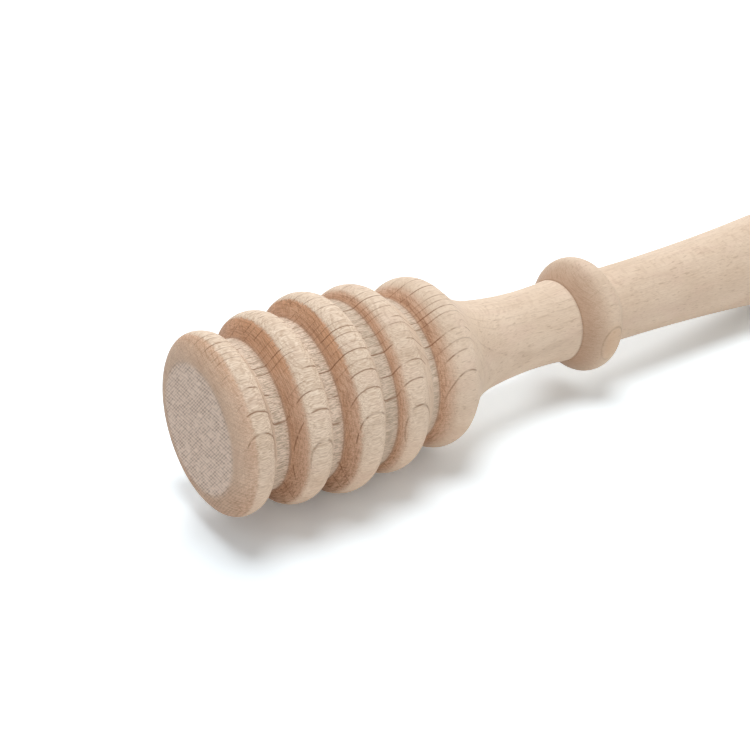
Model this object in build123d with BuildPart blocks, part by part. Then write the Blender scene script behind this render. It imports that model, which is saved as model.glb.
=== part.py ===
from build123d import *
import math
import os

# A honey dipper turned from beech, in two pieces. The head, with its five discs and the neck behind
# them, ends in a spigot that is glued into a socket bored in the front of the handle's bead.
# The dipper's axis is X. The origin is the centre of the flat front end, +X runs towards the end of
# the grip, and +Z is up. Lengths are in millimetres.

total_length = 160.0

# Head: the discs' crests follow a barrel, and a knife has cut a groove between each two of them.
head_diameter = 32.0
head_length = 45.8
disc_place_shares = (0.068, 0.270, 0.457, 0.643, 0.873)  # of the head's length
disc_diameter_shares = (0.888, 0.944, 1.000, 0.955, 0.882)  # of the head's diameter
crown_width = 4.0
crown_drop = 0.6
groove_depth = 2.9
groove_depth_shares = (1.00, 0.92, 0.72, 1.00)  # of the deepest groove
groove_floor_width = 2.2
groove_floor_width_shares = (1.00, 0.90, 1.05, 0.55)  # of a full floor
groove_place_shares = (0.47, 0.44, 0.51, 0.52)  # of the way from one crest to the next
front_face_diameter = 20.2
front_round_share = 0.8  # radius at the first rim, of that rim's distance from the front end
shoulder_diameter = 20.0

# Neck: a cove runs out of the last disc into a slim waist that swells a little towards the bead.
neck_length = 23.5
neck_diameter = 13.6
neck_waist_share = 0.71  # of the neck's length
neck_end_swell = 0.35
cove_length = 5.9
cove_rise = 0.8

# Glued joint: a chamfered spigot in a drilled socket.
spigot_diameter = 8.0
spigot_length = 18.0
spigot_chamfer = 0.8
glue_gap = 0.05
socket_spare_depth = 1.0
drill_point_angle = 118.0

# Handle: the bead, then a grip that swells from its waist to its belly and ends in a rounded butt.
bead_diameter = 20.2
bead_length = 9.6
bead_crest_share = 0.52  # of the bead's length
bead_crown_width = 4.0
bead_crown_drop = 0.75
grip_waist_diameter = 13.3
grip_belly_diameter = 18.2
belly_to_end = 22.0
grip_turn_share = 0.69  # of the way from waist to belly, where the hollow turns into the belly
end_round = 3.0

# Places and radii that both pieces share.
bead_start = head_length + neck_length
spigot_radius = spigot_diameter / 2
spigot_end = bead_start + spigot_length
neck_end = (bead_start, neck_diameter / 2 + neck_end_swell)


def crown(place, radius, width, drop):
    """Give the front end, the crest and the back end of a rounded rim."""
    return (place - width / 2, radius - drop), (place, radius), (place + width / 2, radius - drop)


def groove_floor(index):
    """Give the front and the back root of the groove behind a disc."""
    place, next_place = crest_places[index], crest_places[index + 1]
    middle = place + groove_place_shares[index] * (next_place - place)
    half_width = groove_floor_width * groove_floor_width_shares[index] / 2
    rim_radius = (crest_radii[index] + crest_radii[index + 1]) / 2
    radius = rim_radius - groove_depth * groove_depth_shares[index]
    return (middle - half_width, radius), (middle + half_width, radius)


# The head's half section runs from the axis up the flat front end, back over the discs and the neck,
# and in again along the spigot.
crest_places = [share * head_length for share in disc_place_shares]
crest_radii = [share * head_diameter / 2 for share in disc_diameter_shares]
crowns = [crown(x, r, crown_width, crown_drop) for x, r in zip(crest_places, crest_radii)]
grooves = [groove_floor(index) for index in range(len(crowns) - 1)]
shoulder = (head_length, shoulder_diameter / 2)
cove_end = (head_length + cove_length, neck_diameter / 2 + cove_rise)
neck_waist = (head_length + neck_waist_share * neck_length, neck_diameter / 2)

# Two arcs that meet in line round the first rim down to the flat front end, tangent to both.
front_edge = (0, front_face_diameter / 2)
front_run = crest_places[0]
front_fall = crest_radii[0] - front_edge[1]
rim_round = front_round_share * front_run
face_round = (front_run**2 + front_fall**2 - 2 * front_fall * rim_round) / (2 * (front_run - rim_round))
rim_centre = Vector(front_run, crest_radii[0] - rim_round)
face_centre = Vector(face_round, front_edge[1])
front_meeting = rim_centre + (rim_centre - face_centre).normalized() * rim_round

with BuildPart() as head:
    with BuildSketch(Plane.XY):
        with BuildLine():
            Line((0, 0), front_edge)
            TangentArc(front_edge, front_meeting, tangent=(0, 1))
            TangentArc(crowns[0][1], front_meeting, tangent=(-1, 0))
            TangentArc(crowns[0][1], crowns[0][2], tangent=(1, 0))
            for ends in crowns[1:]:
                ThreePointArc(*ends)
            for groove, disc, next_disc in zip(grooves, crowns, crowns[1:]):
                Polyline(disc[2], *groove, next_disc[0])
            Line(crowns[-1][2], shoulder)
            neck = ThreePointArc(cove_end, neck_waist, neck_end)
            TangentArc(cove_end, shoulder, tangent=-(neck % 0))
            Polyline(
                neck_end,
                (bead_start, spigot_radius),
                (spigot_end - spigot_chamfer, spigot_radius),
                (spigot_end, spigot_radius - spigot_chamfer),
                (spigot_end, 0),
                (0, 0),
            )
        make_face()
    revolve(axis=Axis.X)
head.part.label = "head"

# The handle's half section runs from the socket's mouth over the bead and the grip to its flat end,
# and back along the axis to the point that the drill left at the bottom of the socket.
bead_end = bead_start + bead_length
bead_crest = bead_start + bead_crest_share * bead_length
bead_crown = crown(bead_crest, bead_diameter / 2, bead_crown_width, bead_crown_drop)
grip_waist = (bead_end, grip_waist_diameter / 2)
grip_belly = (total_length - belly_to_end, grip_belly_diameter / 2)
grip_turn = tuple(a + grip_turn_share * (b - a) for a, b in zip(grip_waist, grip_belly))
socket_radius = spigot_radius + glue_gap
socket_bottom = spigot_end + socket_spare_depth
drill_point = socket_bottom + socket_radius / math.tan(math.radians(drill_point_angle / 2))

# The belly's arc meets the hollow's in line, and goes on past the belly to the edge of the end.
grip_run, grip_swell = grip_belly[0] - grip_waist[0], grip_belly[1] - grip_waist[1]
belly_arc_radius = (1 - grip_turn_share) * (grip_run**2 + grip_swell**2) / (2 * grip_swell)
end_fall = belly_arc_radius - math.sqrt(belly_arc_radius**2 - belly_to_end**2)
grip_end = (total_length, grip_belly[1] - end_fall)

with BuildPart() as handle:
    with BuildSketch(Plane.XY) as handle_section:
        with BuildLine():
            Polyline((bead_start, socket_radius), neck_end, bead_crown[0])
            ThreePointArc(*bead_crown)
            Line(bead_crown[2], grip_waist)
            TangentArc(grip_waist, grip_turn, tangent=(1, 0))
            ThreePointArc(grip_turn, grip_belly, grip_end)
            Polyline(
                grip_end,
                (total_length, 0),
                (drill_point, 0),
                (socket_bottom, socket_radius),
                (bead_start, socket_radius),
            )
        make_face()
        fillet(handle_section.vertices().sort_by_distance(grip_end)[0], end_round)
    revolve(axis=Axis.X)
handle.part.label = "handle"

os.makedirs("parts", exist_ok=True)
export_step(head.part, "parts/head.step")
export_step(handle.part, "parts/handle.step")
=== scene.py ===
import math

import bpy
from mathutils import Matrix, Vector


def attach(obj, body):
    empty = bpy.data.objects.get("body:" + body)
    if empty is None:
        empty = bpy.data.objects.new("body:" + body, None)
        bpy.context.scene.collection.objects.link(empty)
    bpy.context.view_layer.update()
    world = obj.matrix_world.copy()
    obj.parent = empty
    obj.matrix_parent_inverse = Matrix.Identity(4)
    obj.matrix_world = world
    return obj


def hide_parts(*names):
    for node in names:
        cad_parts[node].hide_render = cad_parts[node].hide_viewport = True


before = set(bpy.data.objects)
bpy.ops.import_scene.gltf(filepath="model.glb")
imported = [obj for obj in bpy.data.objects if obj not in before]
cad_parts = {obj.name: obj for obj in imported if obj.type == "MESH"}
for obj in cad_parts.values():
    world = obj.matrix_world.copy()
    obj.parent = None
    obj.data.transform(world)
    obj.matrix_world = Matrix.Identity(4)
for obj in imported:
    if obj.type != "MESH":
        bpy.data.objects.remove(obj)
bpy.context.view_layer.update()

# The table and the camera
# The dipper lies on a plain white table, on its third disc's crest and just behind its grip's belly,
# so its axis sinks towards the grip. The camera looks down on the head from in front and one side.
mm = 0.001
table_tilt = math.radians(3.2)
table_contact = Vector((21.13, 0.0, -15.995)) * mm
table_size = 1.3
camera_place = Vector((-79.22, -151.73, 108.72)) * mm
camera_aim = Vector((31.66, 0.06, 0.09)) * mm
camera_lens = 65.76
camera_sensor = 36.0
nearest_seen = 0.01

table_up = Vector((-math.sin(table_tilt), 0.0, math.cos(table_tilt)))
camera_sight = (camera_aim - camera_place).normalized()
camera_right = camera_sight.cross(table_up).normalized()
camera_up = camera_right.cross(camera_sight)

bpy.ops.object.select_all(action="DESELECT")
bpy.ops.object.camera_add(location=camera_place)
camera = bpy.context.object
camera.name = "camera"
camera.rotation_euler = Matrix((camera_right, camera_up, -camera_sight)).transposed().to_euler()
camera.data.lens = camera_lens
camera.data.sensor_width = camera_sensor
camera.data.clip_start = nearest_seen
bpy.context.scene.camera = camera
bpy.context.scene.view_settings.view_transform = "Standard"


class Amount:
    """What a node gives out, mostly a number. Sums on numbers are written as plain arithmetic."""

    def __init__(self, finish, socket):
        self.finish = finish
        self.socket = socket

    def part(self, name):
        return Amount(self.finish, self.socket.node.outputs[name])

    def math(self, operation, first, second):
        return self.finish.node("Math", {"operation": operation}, {0: first, 1: second})

    def __add__(self, other):
        return self.math("ADD", self, other)

    __radd__ = __add__

    def __sub__(self, other):
        return self.math("SUBTRACT", self, other)

    def __rsub__(self, other):
        return self.math("SUBTRACT", other, self)

    def __mul__(self, other):
        return self.math("MULTIPLY", self, other)

    __rmul__ = __mul__

    def __truediv__(self, other):
        return self.math("DIVIDE", self, other)


class Finish:
    """The nodes of one material, or of the room. Every node comes from node()."""

    def __init__(self, owner):
        owner.use_nodes = True
        self.owner = owner
        self.tree = owner.node_tree
        self.tree.nodes.clear()

    def node(self, kind, settings=None, inputs=None, output=0):
        made = self.tree.nodes.new("ShaderNode" + kind)
        for name, setting in (settings or {}).items():
            if name == "stops":
                ramp = made.color_ramp
                while len(ramp.elements) < len(setting):
                    ramp.elements.new(1.0)
                for element, (place, shade) in zip(ramp.elements, setting):
                    element.position = place
                    element.color = (shade, shade, shade, 1.0)
            else:
                setattr(made, name, setting)
        for name, value in (inputs or {}).items():
            if isinstance(value, Amount):
                self.tree.links.new(value.socket, made.inputs[name])
            else:
                made.inputs[name].default_value = value
        return Amount(self, made.outputs[output]) if made.outputs else made


def seen_directly(finish):
    """Give 1 where the camera sees it, also in a gloss or through a clear surface, and 0 elsewhere."""
    ray = finish.node("LightPath", output="Is Camera Ray")
    most = {"operation": "MAXIMUM"}
    shiny = finish.node("Math", most, {0: ray.part("Is Glossy Ray"), 1: ray.part("Is Transmission Ray")})
    return finish.node("Math", most, {0: ray, 1: shiny})


# The camera sees the table paler than the dipper is lit by it. Both layers are matt, and so both keep
# the dipper's shadow.
table_grey = (0.80, 0.80, 0.80, 1.0)
table_lift = (0.45, 0.56, 0.63, 1.0)
no_lift = (0.0, 0.0, 0.0, 1.0)

bpy.ops.object.select_all(action="DESELECT")
bpy.ops.mesh.primitive_plane_add(size=table_size, location=table_contact, rotation=(0, -table_tilt, 0))
table = bpy.context.object
table.name = "table"
table_finish = Finish(bpy.data.materials.new("white_table"))
# Sockets 6 and 7 of a Mix node take its two colours.
table_seen = {0: seen_directly(table_finish), 6: no_lift, 7: table_lift}
table_white = table_finish.node("Mix", {"data_type": "RGBA"}, table_seen, output=2)
table_skin = table_finish.node("AddShader", inputs={
    0: table_finish.node("BsdfDiffuse", inputs={"Color": table_grey}),
    1: table_finish.node("BsdfDiffuse", inputs={"Color": table_white}),
})
table_finish.node("OutputMaterial", inputs={"Surface": table_skin})
table.data.materials.append(table_finish.owner)

# The lamps
# A soft box hangs over the table and a second stands behind it, and a weak one fills from the front.
# The white room does the rest, and is white wherever the camera sees past the table.
room_light = 0.36
room_white = 1.0
lamp_target = Vector((50.0, 0.0, 0.0)) * mm
lamp_distance = 0.8
lamp_width = 0.4
camera_level = (camera_right - camera_right.dot(table_up) * table_up).normalized()
camera_ahead = table_up.cross(camera_level)


def soft_box(name, turn, height, watts):
    """Stand a round soft box at a turn from the camera's right and a height above the table's level."""
    turn, height = math.radians(turn), math.radians(height)
    level = camera_level * math.cos(turn) + camera_ahead * math.sin(turn)
    towards = level * math.cos(height) + table_up * math.sin(height)
    bpy.ops.object.select_all(action="DESELECT")
    bpy.ops.object.light_add(type="AREA", location=lamp_target + towards * lamp_distance)
    lamp = bpy.context.object
    lamp.name = name
    lamp.rotation_euler = towards.to_track_quat("Z", "Y").to_euler()
    lamp.data.shape = "DISK"
    lamp.data.size = lamp_width
    lamp.data.energy = watts


soft_box("lamp_above", turn=0, height=90, watts=3.02)
soft_box("lamp_behind", turn=90, height=35, watts=2.52)
soft_box("lamp_front", turn=300, height=12, watts=1.18)

room = bpy.data.worlds.new("white_room")
bpy.context.scene.world = room
room_finish = Finish(room)
room_strength = seen_directly(room_finish) * (room_white - room_light) + room_light
room_back = room_finish.node("Background", inputs={"Color": (1, 1, 1, 1), "Strength": room_strength})
room_finish.node("OutputWorld", inputs={"Surface": room_back})

# The head, with the neck and the spigot
# One blank of beech, turned between centres: five rounded discs with knife-cut grooves between them,
# a waisted neck, and a spigot that is glued into the handle. It is sanded, and left bare.
turned_steps = 192
front_arc_steps = 8
half_crown_steps = 6
crown_steps = 12
cove_steps = 10
neck_steps = 16
rim_rounding = 0.45
root_rounding = 0.30
rounding_steps = 4
longest_edge = 0.7
same_point = 0.01
weld_distance = 0.004

disc_places = (3.114, 12.366, 20.931, 29.449, 39.983)
disc_radii = (14.208, 15.104, 16.0, 15.28, 14.112)
crown_half_width = 2.0
crown_drop = 0.6
groove_fronts = (6.358, 15.145, 24.118, 34.322)
groove_backs = (8.558, 17.125, 26.428, 35.532)
groove_radii = (11.756, 12.884, 13.552, 11.796)
face_radius = 10.1
face_arc_radius = 5.27
rim_arc_radius = 2.491
shoulder = (45.8, 10.0)
cove_middle = (48.6, 8.45)
cove_end = (51.7, 7.6)
neck_waist = (62.485, 6.8)
neck_end = (69.3, 7.15)
spigot_radius = 4.0
spigot_end = 87.3
spigot_chamfer = 0.8


class Outline:
    """Half a turned piece's outline, drawn as edges from the axis over its surface to the axis again."""

    def __init__(self, name, start):
        bpy.ops.object.select_all(action="DESELECT")
        bpy.ops.mesh.primitive_plane_add(size=mm, location=(0, 0, 0))
        self.piece = bpy.context.object
        self.piece.name = name
        bpy.ops.object.mode_set(mode="EDIT")
        bpy.ops.mesh.select_all(action="SELECT")
        bpy.ops.mesh.merge(type="CENTER")
        bpy.ops.transform.translate(value=(start[0] * mm, start[1] * mm, 0))
        self.here = Vector(start)

    def line(self, *points):
        """Draw straight edges from here to one point after the other."""
        for point in points:
            step = (Vector(point) - self.here) * mm
            bpy.ops.mesh.extrude_region_move(TRANSFORM_OT_translate={"value": (step.x, step.y, 0)})
            self.here = Vector(point)

    def arc(self, middle, end, steps):
        """Draw the arc from here through the middle to the end, by spinning the last point round."""
        start, middle, end = self.here, Vector(middle), Vector(end)
        first, second = middle - start, end - start
        cross = 2 * (first.x * second.y - first.y * second.x)
        one, two = first.length_squared, second.length_squared
        centre = start + Vector((second.y * one - first.y * two, first.x * two - second.x * one)) / cross
        turn = (end - centre).angle_signed(start - centre)
        pivot = (centre.x * mm, centre.y * mm, 0)
        bpy.ops.mesh.spin(steps=steps, angle=-turn, center=pivot, axis=(0, 0, 1))
        self.here = end

    def select_points(self, wanted):
        """Select the points that lie at the wanted places."""
        bpy.ops.mesh.select_all(action="DESELECT")
        bpy.ops.object.mode_set(mode="OBJECT")
        for point in self.piece.data.vertices:
            place = Vector((point.co.x, point.co.y)) / mm
            point.select = any((place - Vector(other)).length < same_point for other in wanted)
        bpy.ops.object.mode_set(mode="EDIT")

    def round_off(self, corners, size):
        """Sand the given corners round."""
        self.select_points(corners)
        bpy.ops.mesh.bevel(affect="VERTICES", offset=size * mm, segments=rounding_steps)

    def select_long_edges(self):
        """Select the edges that are too long, and give their number."""
        bpy.ops.mesh.select_all(action="DESELECT")
        bpy.ops.object.mode_set(mode="OBJECT")
        points = self.piece.data.vertices
        found = 0
        for edge in self.piece.data.edges:
            first, second = (points[index].co for index in edge.vertices)
            edge.select = (first - second).length > longest_edge * mm
            found += edge.select
        bpy.ops.object.mode_set(mode="EDIT")
        return found

    def divide(self):
        """Divide the long edges, so that the skin's shading stays true next to a tight rounding."""
        bpy.ops.mesh.select_mode(type="EDGE")
        while self.select_long_edges():
            bpy.ops.mesh.subdivide(number_cuts=1)
        bpy.ops.mesh.select_mode(type="VERT")

    def turn(self):
        """Spin the outline once round the axis, and weld the seam and the two centres."""
        bpy.ops.mesh.select_all(action="SELECT")
        bpy.ops.mesh.spin(steps=turned_steps, angle=2 * math.pi, center=(0, 0, 0), axis=(1, 0, 0))
        bpy.ops.mesh.select_all(action="SELECT")
        bpy.ops.mesh.remove_doubles(threshold=weld_distance * mm)
        bpy.ops.mesh.normals_make_consistent(inside=False)
        bpy.ops.object.mode_set(mode="OBJECT")
        bpy.ops.object.shade_smooth()
        return self.piece


def crown(place, radius):
    """Give the front end, the crest and the back end of a disc's rounded rim."""
    front = (place - crown_half_width, radius - crown_drop)
    return front, (place, radius), (place + crown_half_width, radius - crown_drop)


crowns = [crown(place, radius) for place, radius in zip(disc_places, disc_radii)]

# Two arcs round the first disc off to the flat front end.
rim_centre = Vector((disc_places[0], disc_radii[0] - rim_arc_radius))
face_centre = Vector((face_arc_radius, face_radius))
outwards = (rim_centre - face_centre).normalized()
front_meeting = rim_centre + outwards * rim_arc_radius
face_middle = face_centre + (outwards + Vector((-1, 0))).normalized() * face_arc_radius
rim_middle = rim_centre + (outwards + Vector((0, 1))).normalized() * rim_arc_radius

head_outline = Outline("beech_head", (0.0, 0.0))
head_outline.line((0.0, face_radius))
head_outline.arc(face_middle, front_meeting, front_arc_steps)
head_outline.arc(rim_middle, crowns[0][1], front_arc_steps)

# The first disc's crown runs on as the back half of the arc that the other crowns have in full.
first_crest, first_back = (Vector(point) for point in crowns[0][1:])
crown_radius = (crown_half_width**2 + crown_drop**2) / (2 * crown_drop)
crown_centre = first_crest - Vector((0, crown_radius))
crown_reach = (first_crest - crown_centre).length
halfway = (first_back - crown_centre + Vector((0, 1)) * crown_reach).normalized()
head_outline.arc(crown_centre + halfway * crown_reach, first_back, half_crown_steps)

rims, roots = [crowns[0][2]], []
for index, (front, crest, back) in enumerate(crowns[1:]):
    groove_front = (groove_fronts[index], groove_radii[index])
    groove_back = (groove_backs[index], groove_radii[index])
    head_outline.line(groove_front, groove_back, front)
    head_outline.arc(crest, back, crown_steps)
    rims += [front, back]
    roots += [groove_front, groove_back]
head_outline.line(shoulder)
head_outline.arc(cove_middle, cove_end, cove_steps)
head_outline.arc(neck_waist, neck_end, neck_steps)
head_outline.line(
    (neck_end[0], spigot_radius),
    (spigot_end - spigot_chamfer, spigot_radius),
    (spigot_end, spigot_radius - spigot_chamfer),
    (spigot_end, 0.0),
)
head_outline.round_off(rims, rim_rounding)
head_outline.round_off(roots, root_rounding)
head_outline.divide()
head = head_outline.turn()

# The blank was cut 45 mm from the pith, so the rings cross the discs' tops and run flat on their sides.
# Each ring is given by its distance from the pith and how dark it is. The rays run straight out
# from the pith. The turned grain gives way to sanded wood between the two places along the axis.
head_pith = (-45.0, -2.0)
head_rings = (
    (30.5, 0.9), (32.9, 0.8), (35.1, 0.9), (36.5, 0.4), (38.1, 1.0), (39.3, 0.4),
    (40.9, 0.7), (42.1, 1.0), (43.3, 0.6), (44.4, 0.6), (45.6, 0.5), (47.0, 1.0),
    (48.6, 0.6), (49.7, 0.8), (52.2, 0.7), (54.9, 0.8), (57.3, 0.7), (60.1, 0.8),
)
head_sanded = (14.0, 46.0)

# One ramp is read at 256 places only, which is too few for lines this thin, so each zone has its own.
ring_zones = (28.0, 36.0, 44.0, 52.0, 62.0)
ring_width = 0.13
ring_sway = 1.3
ring_groove = 0.03
ray_distance = 45.0
sanded_grain = 0.22
wood_gloss = 0.12
fibre_roughness = 0.15

cream = (0.96, 0.805, 0.65, 1.0)
tan = (0.57, 0.405, 0.275, 1.0)
ring_brown = (0.22, 0.10, 0.045, 1.0)
ray_brown = (0.42, 0.27, 0.17, 1.0)
blush = (0.76, 0.56, 0.45, 1.0)


class Beech(Finish):
    """Bare beech: cream wood with its rings and rays about the pith, and its pores along the grain."""

    def __init__(self, name, pith, rings, sanded, shift, tan_share=0.46):
        super().__init__(bpy.data.materials.new(name))
        held = self.node("TexCoord", output="Object")
        self.place = self.node("Mapping", inputs={"Vector": held, "Scale": (1000, 1000, 1000)})
        self.sample = self.node("Mapping", inputs={"Vector": self.place, "Location": shift})
        self.x = self.node("SeparateXYZ", inputs={"Vector": self.place})
        self.y, self.z = self.x.part("Y"), self.x.part("Z")
        self.radius = self.root(self.y * self.y + self.z * self.z)
        y, z = self.y - pith[0], self.z - pith[1]
        self.far = self.root(y * y + z * z)
        self.turn = self.node("Math", {"operation": "ARCTAN2"}, {0: z, 1: y}) * ray_distance
        self.ray_space = self.vector(self.x + shift[0], self.far, self.turn)

        # How strongly the grain shows: less where the wood is sanded, and less again low on its side.
        quiet = (1 - self.ease(self.z, -8.0, 6.0)) * 0.4
        self.rough = (1 - (1 - sanded_grain) * self.ease(self.x, *sanded)) * (1 - quiet)

        # The rings are thin dark lines that sway and break off. Sanding fades them too.
        age = self.far + (self.speckle((0.03, 0.06, 0.06), 2.0) - 0.5) * ring_sway
        lines = 0.0
        for start, end in zip(ring_zones, ring_zones[1:]):
            stops = [(start, 0.0)]
            for ring, depth in rings:
                if start < ring < end:
                    stops += [(ring - ring_width, 0.0), (ring, depth), (ring + ring_width, 0.0)]
            lines = lines + self.table(age, stops + [(end, 0.0)], start, end - start)
        broken = self.ease(self.speckle((0.20, 0.40, 0.40), 2.0), 0.40, 0.53)
        smooth = self.ease(self.x, sanded[1] - 5.5, sanded[1] - 0.5)
        self.ring = lines * broken * (1 - (1 - sanded_grain) * smooth)
        self.upper = self.ease(self.z, -3.0, 5.0)

        # The wood between the rings: its year bands, fibres, rays, pores and slow changes of tone.
        years = self.vector(self.x * 0.05, age, self.turn * 0.05)
        self.year = self.ease(self.speckle((1.0, 1.25, 1.0), 2.0, base=years), 0.50, 0.66)
        self.fibre = self.speckle((0.50, 3.6, 3.6), 3.0, 0.65)
        self.fine = self.speckle((0.30, 8.5, 8.5), 1.0, 0.5)
        self.ray = self.ease(self.speckle((1.2, 0.35, 7.0), 1.0, 0.5, base=self.ray_space), 0.50, 0.66)
        self.mottle = self.speckle((0.10, 0.22, 0.22), 3.0)
        self.pore = self.ease(self.speckle((0.6, 3.2, 3.2), 1.0), 0.64, 0.72)

        grain = (self.fibre - 0.5) * 0.4 + (self.fine - 0.5) * 2.0
        tone = tan_share + (grain - 0.08) * self.rough + (self.mottle - 0.5) * 0.5
        self.colour = self.coat(tone, cream, tan)
        self.lay(self.ease(self.speckle((0.12, 0.3, 0.3), 2.0), 0.48, 0.70) * 0.25, blush)
        self.lay(self.year * (0.06 + 0.12 * self.rough), ray_brown)
        self.lay(self.ray * (0.10 + 0.20 * self.rough), ray_brown)
        self.lay(self.pore * 0.35, ray_brown)
        self.height = (self.fibre * 0.005 + self.fine * 0.005 - self.ray * 0.006) * self.rough

    def root(self, amount):
        return self.node("Math", {"operation": "SQRT"}, {0: amount})

    def vector(self, x, y, z):
        return self.node("CombineXYZ", inputs={"X": x, "Y": y, "Z": z})

    def table(self, amount, stops, low, span):
        """Read a table of (place, value) pairs at an amount."""
        ramp = [((place - low) / span, value) for place, value in stops]
        return self.node("ValToRGB", {"stops": ramp}, {"Fac": (amount - low) / span})

    def speckle(self, scales, detail=2.0, roughness=0.5, base=None):
        """Give a noise with so many spots a millimetre along x, y and z."""
        spots = self.node("Mapping", inputs={"Vector": base or self.sample, "Scale": scales})
        grain = {"Vector": spots, "Scale": 1.0, "Detail": detail, "Roughness": roughness}
        return self.node("TexNoise", inputs=grain)

    def ease(self, amount, low, high):
        """Ease from 0 at the low amount to 1 at the high one."""
        limits = {"Value": amount, "From Min": low, "From Max": high}
        return self.node("MapRange", {"interpolation_type": "SMOOTHSTEP"}, limits)

    def band(self, amount, start, end, edge):
        """Give 1 between two places and 0 past them, and ease this far to both sides of each."""
        risen = self.ease(amount, start - edge, start + edge)
        return risen * (1 - self.ease(amount, end - edge, end + edge))

    def coat(self, amount, below, above):
        """Give a mix of two colours, by an amount from 0 for the first to 1 for the second."""
        return self.node("Mix", {"data_type": "RGBA"}, {0: amount, 6: below, 7: above}, output=2)

    def lay(self, amount, colour):
        """Lay a colour over what is there, by an amount from 0 to 1."""
        self.colour = self.coat(amount, self.colour, colour)

    def close(self, roughness):
        """Draw the ring lines over all else, and join colour, roughness and bump to the skin."""
        self.lay(self.ring, ring_brown)
        self.height = self.height - self.ring * ring_groove
        bump = self.node("Bump", inputs={"Height": self.height * mm, "Strength": 1.0, "Distance": 1.0})
        skin = self.node("BsdfPrincipled", inputs={
            "Base Color": self.colour,
            "Roughness": roughness + fibre_roughness * self.fibre,
            "Specular IOR Level": wood_gloss,
            "Normal": bump,
        })
        self.node("OutputMaterial", inputs={"Surface": skin})
        return self.owner


# Turning burnished the end grain of the disc fronts, dark brown at their roots and rust on top, and
# tore the fibres on the groove floors. A flat sander left fine crossed scratches on the front end.
rust = (0.78, 0.435, 0.255, 1.0)
pale_rust = (0.76, 0.49, 0.34, 1.0)
root_brown = (0.60, 0.35, 0.22, 1.0)
# This brown marks the scoring, and also paints shade in the groove corners and at the bead's joint.
scored_and_shade_brown = (0.29, 0.15, 0.085, 1.0)
torn_pale = (0.90, 0.74, 0.61, 1.0)
# This dark marks the torn shreds, and also paints the shade on the groove floors.
torn_dark_and_shade = (0.42, 0.33, 0.24, 1.0)
dust_pale = (1.0, 0.82, 0.69, 1.0)
dust_dark = (0.42, 0.30, 0.235, 1.0)
front_wear_ends = (1.8, 2.4)
wear_ends = (10.42, 18.90, 27.45, 37.30)
wear_edges = (0.15, 0.12, 0.50, 0.95)
wear_strengths = (1.0, 1.0, 1.0, 0.90)
floor_edge = 0.3
painted_shade_per_floor = (0.06, 0.04, 0.28, 0.14)
rim_shades = (0.85, 0.40, 0.40, 0.40)
turning_spacing = 0.46
sand_turn = math.radians(-48)
sand_spacings = (0.42, 0.64)
flat_end_rim = (10.4, 11.6)

wood = Beech("head_beech", head_pith, head_rings, head_sanded, shift=(0.0, 0.0, 0.0))


def scratches(across, along, spacing):
    """Give 0 to 1 over fine scratches that run along one way and lie this far apart across it."""
    waver = wood.speckle((0.9, 0.25, 1.0), 1.0, base=wood.vector(across, along, spacing * 50))
    broken = wood.speckle((2.2, 0.6, 1.0), 1.0, base=wood.vector(across, along, spacing * 70))
    swing = wood.node("Math", {"operation": "SINE"}, {0: across * (math.tau / spacing) + waver * 4})
    return (swing * 0.5 + 0.5) * wood.ease(broken, 0.30, 0.62)


# The wear covers the front end's rounding and every front wall, from the groove's back root up to a
# ragged line on the crown, which is softer on the camera's side. climb rises from root to crown.
ragged = wood.x + (wood.fibre - 0.5)
front_wear = 1 - wood.ease(ragged, *front_wear_ends)
worn = front_wear * (0.40 + 0.12 * wood.ease(wood.x, 0.2, 1.6))
climb, torn, painted_floor_shade, painted_corner_shade, rimmed = front_wear, 0.0, 0.0, 0.0, 0.0
near = 1 - wood.ease(wood.y, -12.0, 0.0)
groove_wear = zip(groove_fronts, groove_backs, wear_ends, wear_edges, wear_strengths, painted_shade_per_floor)
for front, back, end, edge, strength, shade in groove_wear:
    fading = 1 - wood.ease(ragged, end - edge - near * 0.35, end + edge + near * 0.10)
    worn = worn + wood.ease(wood.x, back - 0.75, back - 0.3) * fading * strength
    climb = climb + wood.ease(wood.x, back, end) * fading
    on_floor = wood.band(wood.x, front, back, floor_edge)
    torn = torn + on_floor
    painted_floor_shade = painted_floor_shade + on_floor * shade
    painted_corner_shade = painted_corner_shade + wood.band(wood.x, back - 0.05, back + 0.1, 0.14)
for (_, _, back), shade in zip(crowns, rim_shades):
    rimmed = rimmed + wood.band(wood.x, back[0] + 0.05, back[0] + 0.15, 0.12) * shade

# The burnish is brown at the roots, pale rust above, and full rust on top of the first three discs.
topmost = wood.ease(wood.z, 8.5, 12.5) * (1 - 0.8 * wood.ease(wood.x, 21.0, 26.0))
scored = wood.speckle((0.3, 6.0, 1.1), 1.0, 0.5, base=wood.vector(wood.x, wood.radius, wood.turn))
patchy = wood.ease(wood.mottle * 0.5 + wood.fine * 0.5 + scored * 0.5, 0.45, 0.95)
worn = worn * (0.75 + 0.35 * patchy)
wood.lay(worn, wood.coat(climb, root_brown, wood.coat(topmost, pale_rust, rust)))

# It is finely scored, with crossed turning marks low down. The discs' low side is tinted a little
# darker and warmer, towards the rust colour.
hatch = wood.ease(scored, 0.44, 0.64) * 0.6 + wood.ray * 0.5 + wood.ease(wood.fine, 0.46, 0.62) * 0.5
lower = 1 - wood.ease(wood.z, -9.0, 1.0)
wood.lay(lower * (1 - wood.ease(wood.x, 42.0, 48.0)) * 0.13, rust)
top_back = wood.ease(wood.z, 2.0, 10.0) * wood.ease(wood.x, 30.0, 34.0)
grid = scratches(wood.radius, wood.turn, turning_spacing)
grid = grid + scratches(wood.turn, wood.far, turning_spacing)
hatch = hatch * (0.54 - 0.16 * climb * near) + lower * (0.08 + 0.32 * grid) + top_back * 0.18
wood.lay(worn * hatch * (1 - 0.25 * front_wear), scored_and_shade_brown)

# The rings fade out low on the head, other than in the burnish of the front discs.
streaked = worn * (1 - wood.ease(wood.x, 28.0, 33.0))
wood.ring = wood.ring * (wood.upper + streaked * (1 - wood.upper))
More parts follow.
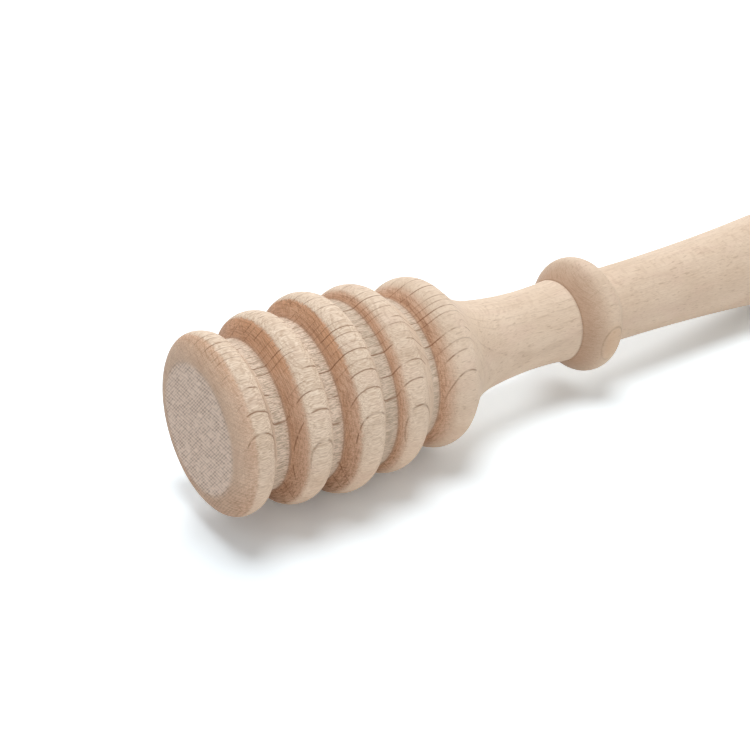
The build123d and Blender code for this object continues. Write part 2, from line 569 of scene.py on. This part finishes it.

# The groove floors are pale and dark shreds with small pits. Broken dark lines of painted shade run in
# each groove's back corner, and broken dark lines run along the rim of the disc before it.
shred = wood.ease(wood.speckle((0.9, 9.5, 9.5), 1.0, 0.5), 0.36, 0.62)
pitted = wood.ease(wood.speckle((2.5, 5.0, 5.0), 1.0, 0.6), 0.60, 0.68)
wood.lay(torn * 0.75, wood.coat(0.40 + (shred - 0.40) * (0.4 + wood.rough), torn_dark_and_shade, torn_pale))
wood.lay(torn * pitted * wood.rough * 0.45, scored_and_shade_brown)
# Each floor is darkened by its own amount of painted shade, most of all the third.
wood.lay(painted_floor_shade, torn_dark_and_shade)
wood.lay(painted_corner_shade * (0.32 + 0.65 * wood.fine), scored_and_shade_brown)
wood.lay(rimmed * wood.ease(wood.mottle, 0.36, 0.54), scored_and_shade_brown)

# The flat end is pale with dust, and its scratches cross and run out onto the rounding. A broken dark
# line goes round its edge. The rings don't show through the dust.
across = wood.y * -math.sin(sand_turn) + wood.z * math.cos(sand_turn)
down = wood.y * math.cos(sand_turn) + wood.z * math.sin(sand_turn)
crossed = scratches(across, down, sand_spacings[0]) + scratches(wood.z, wood.y, sand_spacings[1])
flat_end = 1 - wood.ease(wood.radius + wood.fibre * 1.5, *flat_end_rim)
flat_end = flat_end * (1 - wood.ease(wood.x, 0.4, 1.0))
wood.lay(flat_end * 0.9, wood.coat(0.09 + crossed * 0.48, dust_pale, dust_dark))
wood.lay((1 - flat_end) * front_wear * crossed * (0.10 + 0.22 * lower), scored_and_shade_brown)
face_edge = wood.band(wood.radius, face_radius, face_radius + 0.2, 0.15)
face_edge = face_edge * (1 - wood.ease(wood.x, 0.3, 0.6))
wood.lay(face_edge * wood.ease(wood.mottle, 0.42, 0.60) * 0.4, scored_and_shade_brown)
wood.ring = wood.ring * wood.ease(wood.x, 0.5, 1.4)
wood.height = wood.height + torn * shred * 0.03 + worn * scored * 0.02 - flat_end * crossed * 0.02

head.data.materials.clear()
head.data.materials.append(wood.close(roughness=0.55))
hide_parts("head")
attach(head, "root")

# The handle
# A second blank of beech, turned and then sanded smooth: a bead, bored up its middle for the glued
# spigot, and a grip that swells and ends flat, with a rounded edge. Its grain is straight and quiet.
bead_start = 69.3
bead_end = 78.9
bead_crest = (74.292, 10.1)
bead_half_width = 2.0
bead_drop = 0.75
grip_waist_radius = 6.65
grip_hollow = (99.0, 7.066)
grip_turn = (119.679, 8.3405)
grip_belly = (138.0, 9.1)
grip_end = (160.0, 8.0)
butt_rounding = 3.0
bead_steps = 24
grip_steps = 30
socket_radius = 4.05
socket_bottom = 88.3
drill_point = 90.733

handle_outline = Outline("beech_handle", (drill_point, 0.0))
handle_outline.line((socket_bottom, socket_radius), (bead_start, socket_radius), neck_end)
bead_front = (bead_crest[0] - bead_half_width, bead_crest[1] - bead_drop)
bead_back = (bead_crest[0] + bead_half_width, bead_crest[1] - bead_drop)
handle_outline.line(bead_front)
handle_outline.arc(bead_crest, bead_back, bead_steps)
handle_outline.line((bead_end, grip_waist_radius))
handle_outline.arc(grip_hollow, grip_turn, grip_steps)
handle_outline.arc(grip_belly, grip_end, grip_steps)
handle_outline.line((grip_end[0], 0.0))
handle_outline.round_off([bead_front, bead_back], rim_rounding)
handle_outline.round_off([grip_end], butt_rounding)
handle_outline.divide()
handle = handle_outline.turn()

# The bead's front is browner and shades off at its crest. Its rings show best on the bead, where a
# small amber patch lies inside the first of them. A fine dark line of painted shade lies in the corner
# at the joint with the neck.
handle_pith = (-43.0, -5.0)
handle_rings = ((34.0, 0.7), (36.4, 0.2), (39.2, 0.3), (41.9, 0.2), (44.7, 0.3), (47.3, 0.2), (50.6, 0.3))
handle_sanded = (60.0, 69.0)
bead_brown = (0.50, 0.32, 0.215, 1.0)
bead_amber = (0.72, 0.48, 0.30, 1.0)
amber_edge = (34.0, 34.8)
amber_start = 72.5
amber_end = 77.5
handle_shift = (37.0, 11.0, 5.0)

wood = Beech("handle_beech", handle_pith, handle_rings, handle_sanded, handle_shift, tan_share=0.52)
worn = 1 - wood.ease(wood.x + (wood.fibre - 0.5) * 1.5, bead_start + 0.6, bead_crest[0])
wood.lay(worn * (0.80 + 0.5 * (wood.fine - 0.5)), bead_brown)
wood.lay(worn * wood.ray * 0.2, scored_and_shade_brown)
amber = 1 - wood.ease(wood.far + wood.fibre, *amber_edge)
wood.lay(amber * wood.band(wood.x, amber_start, amber_end, 0.8) * 0.4, bead_amber)
on_bead = wood.band(wood.x, bead_start + 2.0, bead_end - 1.0, 1.0)
wood.ring = wood.ring * wood.ease(wood.z, -9.0, 4.0) * (1 + 1.8 * on_bead)
# Painted shade in the corner where the bead meets the neck.
wood.lay(wood.band(wood.x, bead_start - 0.1, bead_start + 0.15, 0.15) * 0.2, scored_and_shade_brown)
handle.data.materials.clear()
handle.data.materials.append(wood.close(roughness=0.5))
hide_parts("handle")
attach(handle, "root")
